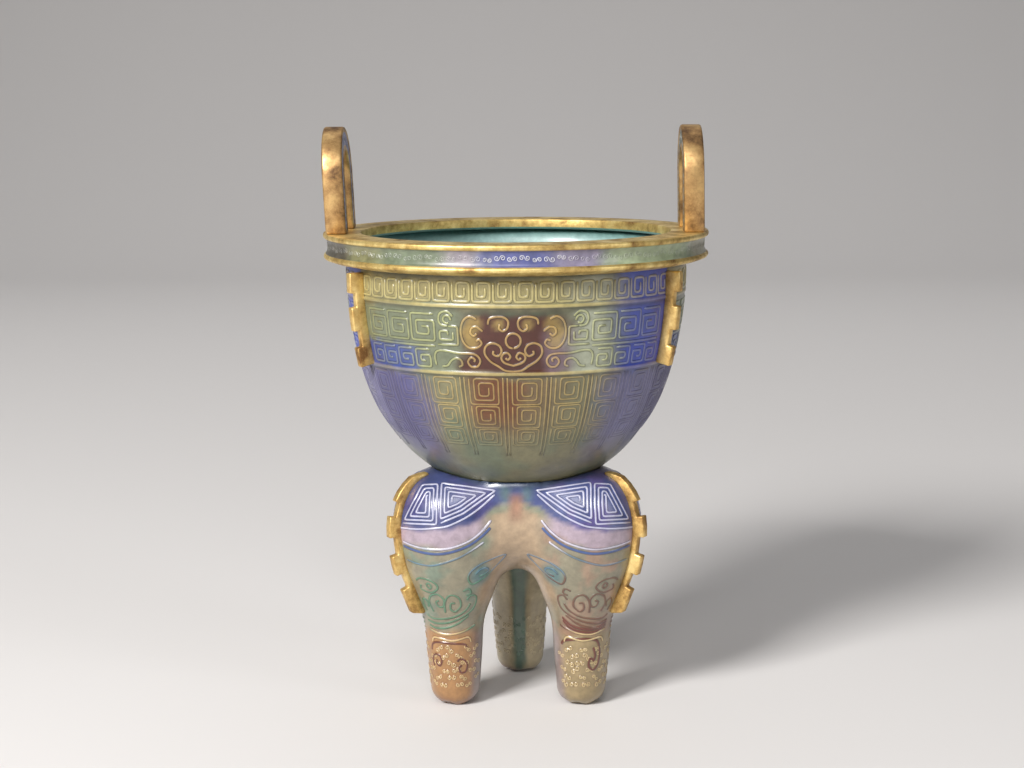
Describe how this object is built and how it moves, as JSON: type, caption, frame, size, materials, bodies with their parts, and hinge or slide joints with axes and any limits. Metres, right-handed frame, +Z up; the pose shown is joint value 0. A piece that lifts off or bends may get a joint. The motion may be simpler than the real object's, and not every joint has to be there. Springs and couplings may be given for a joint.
{
  "type": "painted enamel yan vessel",
  "caption": "Deep round bowl on a lobed tripod with upright loop handles, toothed gilt flanges and painted enamel ornament in low relief.",
  "frame": {"origin": "on the floor under the bowl's axis, level with the undersides of the three feet", "axes": "+Z up the bowl's axis, -Y towards the front between two of the legs, +X to the right-hand handle"},
  "size_m": [0.1326, 0.1326, 0.2003],
  "materials": {
    "bowl_enamel": "glossy painted enamel on copper, olive green with blue, teal and maroon patches, turquoise inside",
    "tripod_enamel": "glossy painted enamel on copper, violet blue lobes with white lines, olive and tan legs",
    "gilt_mounts": "worn mercury gilding on cast metal"
  },
  "bodies": {
    "root": {"steamer_bowl": "bowl_enamel", "rim_collar": "gilt_mounts", "tripod_base": "tripod_enamel", "handle_left": "gilt_mounts", "handle_right": "gilt_mounts", "bowl_flange_front_left": "gilt_mounts", "bowl_flange_front_right": "gilt_mounts", "bowl_flange_back": "gilt_mounts", "leg_flange_front_left": "gilt_mounts", "leg_flange_front_right": "gilt_mounts", "leg_flange_back": "gilt_mounts"}
  },
  "joints": []
}
